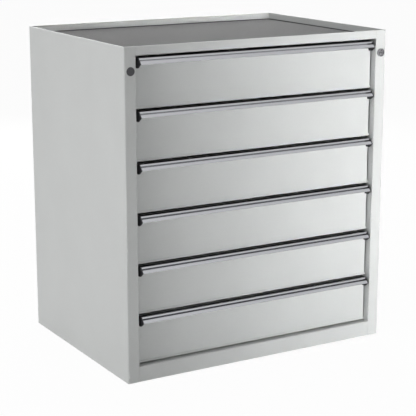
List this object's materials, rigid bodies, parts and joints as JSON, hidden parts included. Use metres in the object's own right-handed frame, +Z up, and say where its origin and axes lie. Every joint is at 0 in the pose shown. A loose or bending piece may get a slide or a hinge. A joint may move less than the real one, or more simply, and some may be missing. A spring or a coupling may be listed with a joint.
{
  "type": "drawer cabinet",
  "caption": "Floor-standing sheet steel cabinet with full-width drawers on telescopic slides, bar handles, a lock that bars every drawer, and a rimmed tray top with a mat.",
  "frame": {"origin": "on the floor, in the middle of the overall width and depth, handles and rivet heads included", "axes": "+Z up, -Y out of the drawer fronts, +X to the right of someone facing the drawers"},
  "size_m": [0.9, 0.6664, 0.978],
  "materials": {
    "grey_paint": "light grey, fine satin powder coat",
    "handle_aluminium": "satin anodised extrusion",
    "black_plastic": "fine moulded grain",
    "plug_plastic": "moulded, dark grey",
    "mat_rubber": "fine ribbed mat",
    "zinc_steel": "zinc plated",
    "lock_chrome": "satin nickel plated",
    "rivet_metal": "bare blind rivets"
  },
  "bodies": {
    "cabinet": {"left_side_panel": "grey_paint", "right_side_panel": "grey_paint", "rear_panel": "grey_paint", "rear_rivets": "rivet_metal", "top_rail": "grey_paint", "top_panel": "grey_paint", "top_mat": "mat_rubber", "plinth_rail": "grey_paint", "base_panel": "grey_paint", "slide_posts": "zinc_steel", "fixed_rails": "zinc_steel", "lock_body": "lock_chrome", "lock_nut": "zinc_steel", "bar_guides": "black_plastic", "blanking_plug": "plug_plastic"},
    "lock_core": {"lock_plug": "lock_chrome", "lock_cam": "zinc_steel"},
    "lock_bar": {"lock_bar": "zinc_steel"},
    "drawer_1": {"drawer_1_tray": "grey_paint", "drawer_1_front": "grey_paint", "drawer_1_handle": "handle_aluminium", "drawer_1_caps": "black_plastic", "drawer_1_rails": "zinc_steel", "drawer_1_catch": "zinc_steel"},
    "slide_1": {"slide_1_middle": "zinc_steel"},
    "drawer_2": {"drawer_2_tray": "grey_paint", "drawer_2_front": "grey_paint", "drawer_2_handle": "handle_aluminium", "drawer_2_caps": "black_plastic", "drawer_2_rails": "zinc_steel", "drawer_2_catch": "zinc_steel"},
    "slide_2": {"slide_2_middle": "zinc_steel"},
    "drawer_3": {"drawer_3_tray": "grey_paint", "drawer_3_front": "grey_paint", "drawer_3_handle": "handle_aluminium", "drawer_3_caps": "black_plastic", "drawer_3_rails": "zinc_steel", "drawer_3_catch": "zinc_steel"},
    "slide_3": {"slide_3_middle": "zinc_steel"},
    "drawer_4": {"drawer_4_tray": "grey_paint", "drawer_4_front": "grey_paint", "drawer_4_handle": "handle_aluminium", "drawer_4_caps": "black_plastic", "drawer_4_rails": "zinc_steel", "drawer_4_catch": "zinc_steel"},
    "slide_4": {"slide_4_middle": "zinc_steel"},
    "drawer_5": {"drawer_5_tray": "grey_paint", "drawer_5_front": "grey_paint", "drawer_5_handle": "handle_aluminium", "drawer_5_caps": "black_plastic", "drawer_5_rails": "zinc_steel", "drawer_5_catch": "zinc_steel"},
    "slide_5": {"slide_5_middle": "zinc_steel"},
    "drawer_6": {"drawer_6_tray": "grey_paint", "drawer_6_front": "grey_paint", "drawer_6_handle": "handle_aluminium", "drawer_6_caps": "black_plastic", "drawer_6_rails": "zinc_steel", "drawer_6_catch": "zinc_steel"},
    "slide_6": {"slide_6_middle": "zinc_steel"}
  },
  "joints": [
    {"name": "drawer_1_pull", "type": "slide", "parent": "cabinet", "child": "drawer_1", "axis": [0, -1, 0], "range_m": [0, 0.56]},
    {"name": "slide_1_run", "type": "slide", "parent": "cabinet", "child": "slide_1", "axis": [0, -1, 0], "range_m": [0, 0.28]},
    {"name": "drawer_2_pull", "type": "slide", "parent": "cabinet", "child": "drawer_2", "axis": [0, -1, 0], "range_m": [0, 0.56]},
    {"name": "slide_2_run", "type": "slide", "parent": "cabinet", "child": "slide_2", "axis": [0, -1, 0], "range_m": [0, 0.28]},
    {"name": "drawer_3_pull", "type": "slide", "parent": "cabinet", "child": "drawer_3", "axis": [0, -1, 0], "range_m": [0, 0.56]},
    {"name": "slide_3_run", "type": "slide", "parent": "cabinet", "child": "slide_3", "axis": [0, -1, 0], "range_m": [0, 0.28]},
    {"name": "drawer_4_pull", "type": "slide", "parent": "cabinet", "child": "drawer_4", "axis": [0, -1, 0], "range_m": [0, 0.56]},
    {"name": "slide_4_run", "type": "slide", "parent": "cabinet", "child": "slide_4", "axis": [0, -1, 0], "range_m": [0, 0.28]},
    {"name": "drawer_5_pull", "type": "slide", "parent": "cabinet", "child": "drawer_5", "axis": [0, -1, 0], "range_m": [0, 0.56]},
    {"name": "slide_5_run", "type": "slide", "parent": "cabinet", "child": "slide_5", "axis": [0, -1, 0], "range_m": [0, 0.28]},
    {"name": "drawer_6_pull", "type": "slide", "parent": "cabinet", "child": "drawer_6", "axis": [0, -1, 0], "range_m": [0, 0.56]},
    {"name": "slide_6_run", "type": "slide", "parent": "cabinet", "child": "slide_6", "axis": [0, -1, 0], "range_m": [0, 0.28]},
    {"name": "lock_bar_drop", "type": "slide", "parent": "cabinet", "child": "lock_bar", "axis": [0, 0, -1], "range_m": [0, 0.01202]},
    {"name": "lock_turn", "type": "hinge", "parent": "cabinet", "child": "lock_core", "pos_m": [0.43, -0.3242, 0.9095], "axis": [0, -1, 0], "range_deg": [0, 90]}
  ],
  "couplings": [
    {"joint": "slide_1_run", "follows": "drawer_1_pull", "ratio": 0.5},
    {"joint": "slide_2_run", "follows": "drawer_2_pull", "ratio": 0.5},
    {"joint": "slide_3_run", "follows": "drawer_3_pull", "ratio": 0.5},
    {"joint": "slide_4_run", "follows": "drawer_4_pull", "ratio": 0.5},
    {"joint": "slide_5_run", "follows": "drawer_5_pull", "ratio": 0.5},
    {"joint": "slide_6_run", "follows": "drawer_6_pull", "ratio": 0.5},
    {"joint": "lock_turn", "follows": "lock_bar_drop", "rad_per_m": 130.68}
  ]
}
